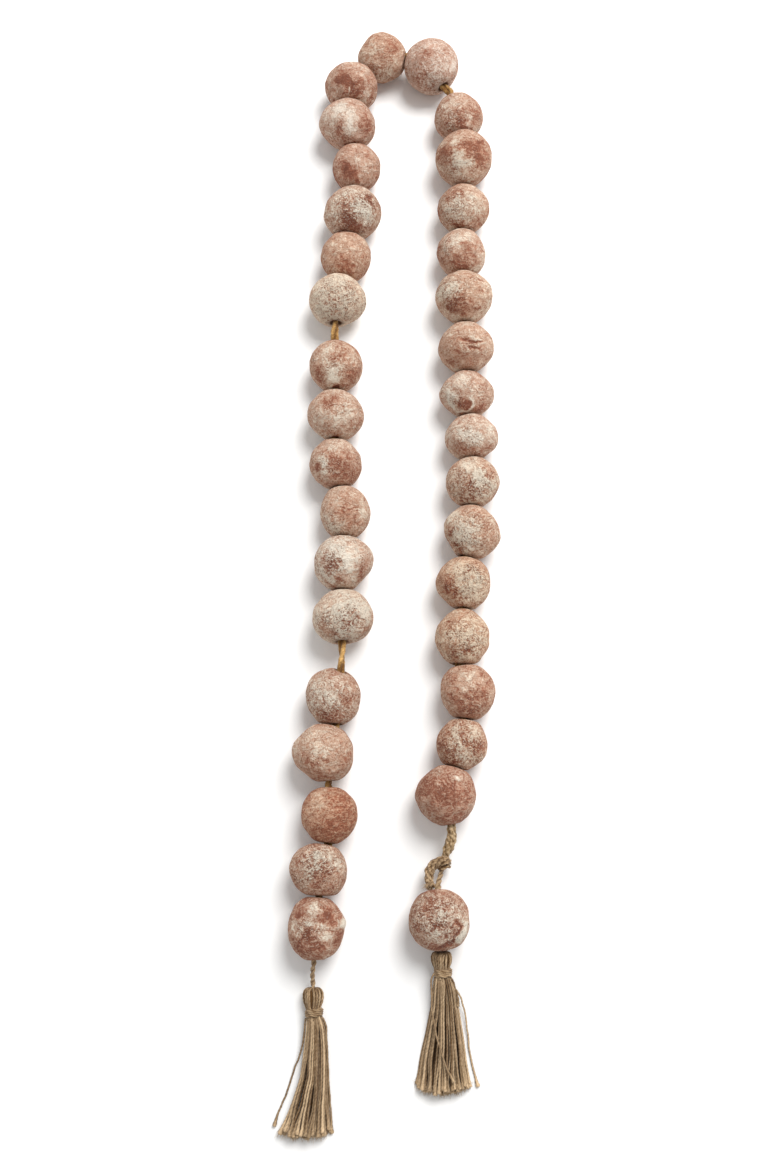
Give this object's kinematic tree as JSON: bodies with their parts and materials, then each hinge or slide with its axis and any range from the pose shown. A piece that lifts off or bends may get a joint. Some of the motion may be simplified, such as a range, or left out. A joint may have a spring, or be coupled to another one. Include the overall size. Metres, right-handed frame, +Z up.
{
  "type": "bead garland",
  "caption": "Garland of hand-rolled, white-washed clay beads on a jute cord with a jute tassel at each end, laid out in a U.",
  "frame": {"origin": "on the surface that the garland lies on, under the middle of its bounding box", "axes": "+Z up from the surface, +Y from the tassels towards the turn of the U, +X to the right seen from above"},
  "size_m": [0.1258, 0.6574, 0.0336],
  "materials": {
    "clay": "matte",
    "cord": "matte",
    "jute": "matte"
  },
  "bodies": {
    "root": {"bead_01": "clay", "bead_02": "clay", "bead_03": "clay", "bead_04": "clay", "bead_05": "clay", "bead_06": "clay", "bead_07": "clay", "bead_08": "clay", "bead_09": "clay", "bead_10": "clay", "bead_11": "clay", "bead_12": "clay", "bead_13": "clay", "bead_14": "clay", "bead_15": "clay", "bead_16": "clay", "bead_17": "clay", "bead_18": "clay", "bead_19": "clay", "bead_20": "clay", "bead_21": "clay", "bead_22": "clay", "bead_23": "clay", "bead_24": "clay", "bead_25": "clay", "bead_26": "clay", "bead_27": "clay", "bead_28": "clay", "bead_29": "clay", "bead_30": "clay", "bead_31": "clay", "bead_32": "clay", "bead_33": "clay", "bead_34": "clay", "bead_35": "clay", "stringing_cord": "cord", "knot_loop": "cord", "tie_twine": "jute", "neck_twine": "jute", "tassel_left": "jute", "tassel_right": "jute", "wrap_left": "jute", "wrap_right": "jute"}
  },
  "joints": []
}
